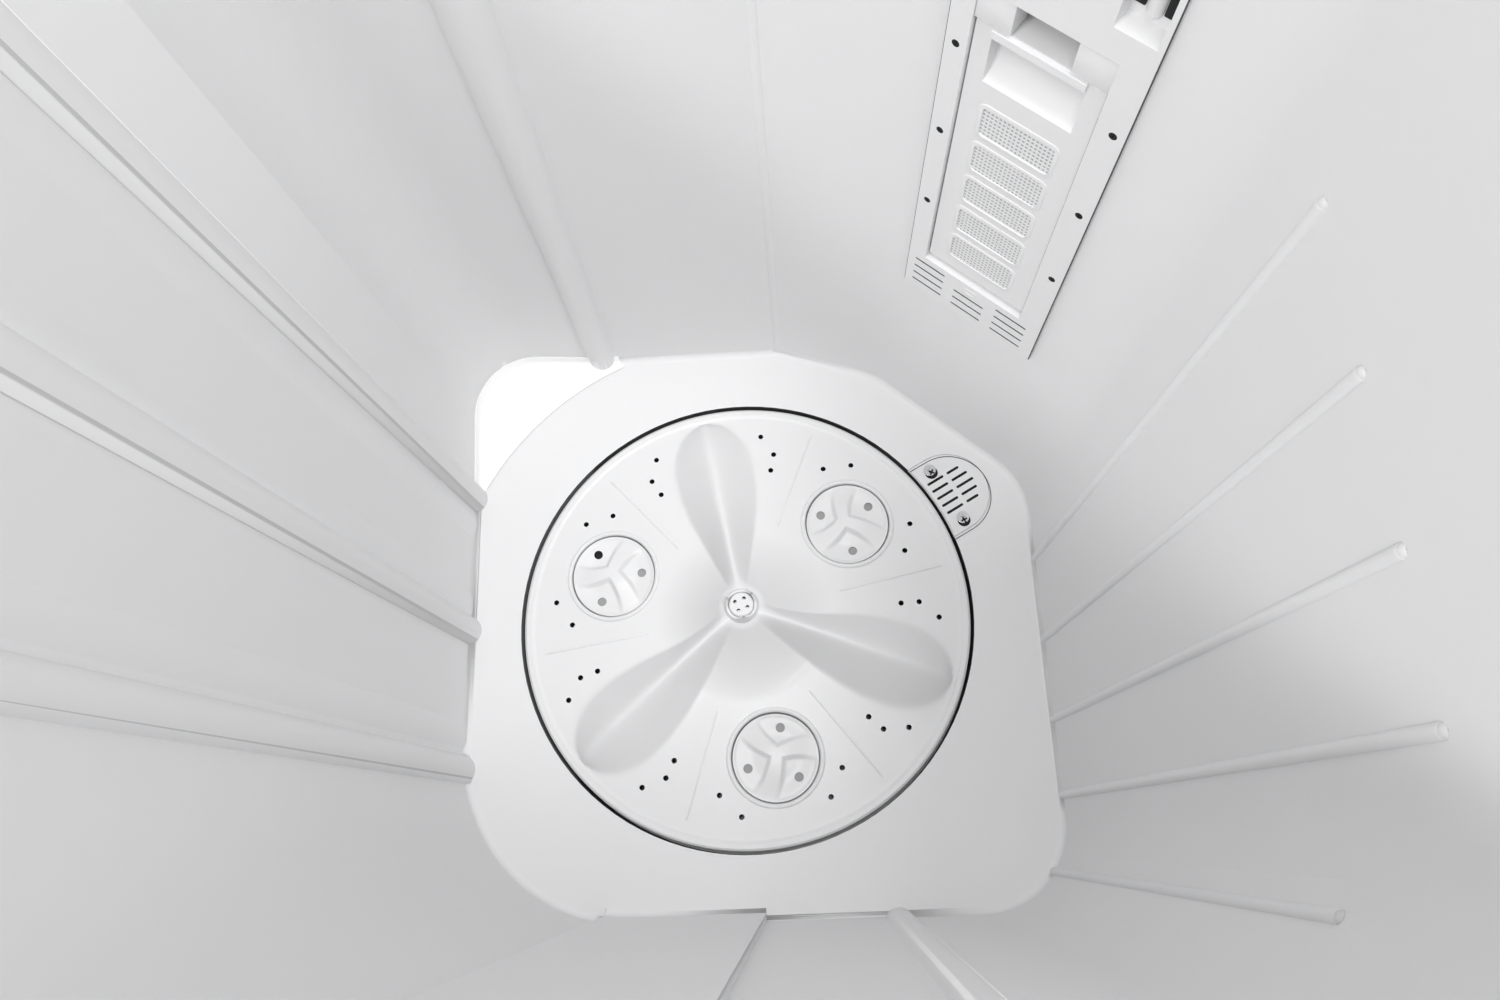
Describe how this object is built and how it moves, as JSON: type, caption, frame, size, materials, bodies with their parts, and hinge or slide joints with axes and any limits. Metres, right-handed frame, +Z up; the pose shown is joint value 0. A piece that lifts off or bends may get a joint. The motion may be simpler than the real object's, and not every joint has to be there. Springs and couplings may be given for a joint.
{
  "type": "washing machine",
  "caption": "Top-loading twin-tub washing machine: wash tub with petalled pulsator and small free discs, drain grille, swing-out lint filter, spin tub and rear control console.",
  "frame": {"origin": "on the floor under the middle of the machine's plan box", "axes": "+Z up; the front is -Y, with the lids' grips; the control console stands along +Y; the wash tub is on the -X side and the spin tub on the +X side"},
  "size_m": [0.86, 0.55, 1.3428],
  "materials": {
    "tub_plastic": "smooth white moulded plastic",
    "pulsator_plastic": "smooth white moulded plastic, slightly greyer than the tub",
    "filter_plastic": "white moulded plastic",
    "cabinet_plastic": "white moulded panels",
    "base_plastic": "grey moulded plastic",
    "console_plastic": "white moulded plastic",
    "panel_plastic": "light grey plate",
    "knob_plastic": "white moulded plastic",
    "lid_plastic": "white moulded plastic",
    "basket_plastic": "white moulded plastic",
    "mesh": "fine light grey mesh",
    "steel": "plain steel",
    "screw_steel": "bright plated steel",
    "motor_paint": "dark grey paint",
    "bronze": "plain bearing bronze",
    "black_rubber": "black rubber",
    "grey_hose": "grey flexible plastic",
    "capacitor_plastic": "off-white can",
    "switch_plastic": "dark switch housing",
    "pulley_metal": "cast and turned"
  },
  "bodies": {
    "machine": {"base": "base_plastic", "feet": "black_rubber", "cabinet": "cabinet_plastic", "rear_cover": "cabinet_plastic", "cover_screws": "screw_steel", "cord_gland": "black_rubber", "top_deck": "cabinet_plastic", "hinge_pins": "steel", "wash_tub": "tub_plastic", "drain_grille": "tub_plastic", "tub_screws": "screw_steel", "filter_frame": "filter_plastic", "shaft_housing": "base_plastic", "shaft_bushes": "bronze", "shaft_seal": "black_rubber", "drive_belt": "black_rubber", "wash_motor": "motor_paint", "motor_mounts": "black_rubber", "capacitor": "capacitor_plastic", "spin_housing": "cabinet_plastic", "spin_motor": "motor_paint", "spring_sleeves": "black_rubber", "bellows_seal": "black_rubber", "drain_chamber": "base_plastic", "drain_hose": "grey_hose", "spin_drain_pipe": "grey_hose", "outlet_spigot": "base_plastic", "console_body": "console_plastic", "console_panel": "panel_plastic", "wash_timer": "switch_plastic", "program_switch": "switch_plastic", "spin_timer": "switch_plastic", "water_valve": "console_plastic", "fill_pipe": "grey_hose"},
    "wash_lid": {"wash_lid": "lid_plastic"},
    "spin_lid": {"spin_lid": "lid_plastic"},
    "wash_timer_knob": {"wash_timer_knob": "knob_plastic"},
    "water_knob": {"water_knob": "knob_plastic"},
    "program_knob": {"program_knob": "knob_plastic"},
    "spin_timer_knob": {"spin_timer_knob": "knob_plastic"},
    "pulsator": {"pulsator": "pulsator_plastic", "pulsator_cap": "pulsator_plastic", "pulsator_screw": "screw_steel", "disc_pins": "steel", "wash_shaft": "steel", "wash_pulley": "pulley_metal"},
    "small_disc_1": {"small_disc_1": "pulsator_plastic"},
    "small_disc_2": {"small_disc_2": "pulsator_plastic"},
    "small_disc_3": {"small_disc_3": "pulsator_plastic"},
    "wash_rotor": {"wash_rotor": "steel", "motor_pulley": "pulley_metal"},
    "basket": {"spin_basket": "basket_plastic", "spin_shaft": "steel", "brake_drum": "steel", "spin_rotor": "steel"},
    "brake": {"brake_arm": "steel", "brake_pad": "black_rubber"},
    "lint_filter": {"lint_filter": "filter_plastic", "filter_mesh": "mesh"},
    "valve": {"valve_plunger": "black_rubber"}
  },
  "joints": [
    {"name": "wash_lid_hinge", "type": "hinge", "parent": "machine", "child": "wash_lid", "pos_m": [-0.2, 0.172, 0.898], "axis": [1, 0, 0], "range_deg": [0, 94]},
    {"name": "spin_lid_hinge", "type": "hinge", "parent": "machine", "child": "spin_lid", "pos_m": [0.23, 0.172, 0.898], "axis": [-1, 0, 0], "range_deg": [0, 94]},
    {"name": "brake_turn", "type": "hinge", "parent": "machine", "child": "brake", "pos_m": [0.292, -0.095, 0.193], "axis": [0, 0, 1], "range_deg": [0, 4]},
    {"name": "wash_timer_turn", "type": "hinge", "parent": "machine", "child": "wash_timer_knob", "pos_m": [-0.3, 0.22, 0.957], "axis": [0, -0.9067, 0.4217], "range_deg": [0, 300]},
    {"name": "water_turn", "type": "hinge", "parent": "machine", "child": "water_knob", "pos_m": [-0.11, 0.22, 0.957], "axis": [0, -0.9067, 0.4217], "range_deg": [0, 90]},
    {"name": "program_turn", "type": "hinge", "parent": "machine", "child": "program_knob", "pos_m": [0.09, 0.22, 0.957], "axis": [0, -0.9067, 0.4217], "range_deg": [0, 90]},
    {"name": "spin_timer_turn", "type": "hinge", "parent": "machine", "child": "spin_timer_knob", "pos_m": [0.3, 0.22, 0.957], "axis": [0, -0.9067, 0.4217], "range_deg": [0, 300]},
    {"name": "pulsator_spin", "type": "hinge", "parent": "machine", "child": "pulsator", "pos_m": [-0.206, -0.054, 0.3], "axis": [0, 0, 1], "continuous": true},
    {"name": "wash_rotor_spin", "type": "hinge", "parent": "machine", "child": "wash_rotor", "pos_m": [-0.32267, 0.06267, 0.1], "axis": [0, 0, 1], "continuous": true},
    {"name": "basket_spin", "type": "hinge", "parent": "machine", "child": "basket", "pos_m": [0.222, -0.045, 0.3], "axis": [0, 0, 1], "continuous": true},
    {"name": "lint_filter_tilt", "type": "hinge", "parent": "machine", "child": "lint_filter", "pos_m": [-0.0546, 0.09501, 0.51476], "axis": [0.7547, -0.6561, 0], "range_deg": [0, 25]},
    {"name": "valve_lift", "type": "slide", "parent": "machine", "child": "valve", "axis": [0, 0, 1], "range_m": [0, 0.012]},
    {"name": "small_disc_1_spin", "type": "hinge", "parent": "pulsator", "child": "small_disc_1", "pos_m": [-0.12897, 0.01133, 0.31], "axis": [0, 0, 1], "continuous": true},
    {"name": "small_disc_2_spin", "type": "hinge", "parent": "pulsator", "child": "small_disc_2", "pos_m": [-0.30109, -0.01995, 0.31], "axis": [0, 0, 1], "continuous": true},
    {"name": "small_disc_3_spin", "type": "hinge", "parent": "pulsator", "child": "small_disc_3", "pos_m": [-0.18794, -0.15337, 0.31], "axis": [0, 0, 1], "continuous": true}
  ],
  "couplings": [
    {"joint": "wash_rotor_spin", "follows": "pulsator_spin", "ratio": 3.5},
    {"joint": "brake_turn", "follows": "spin_lid_hinge", "ratio": 0.042553},
    {"joint": "valve_lift", "follows": "program_turn", "m_per_rad": 0.007639}
  ]
}
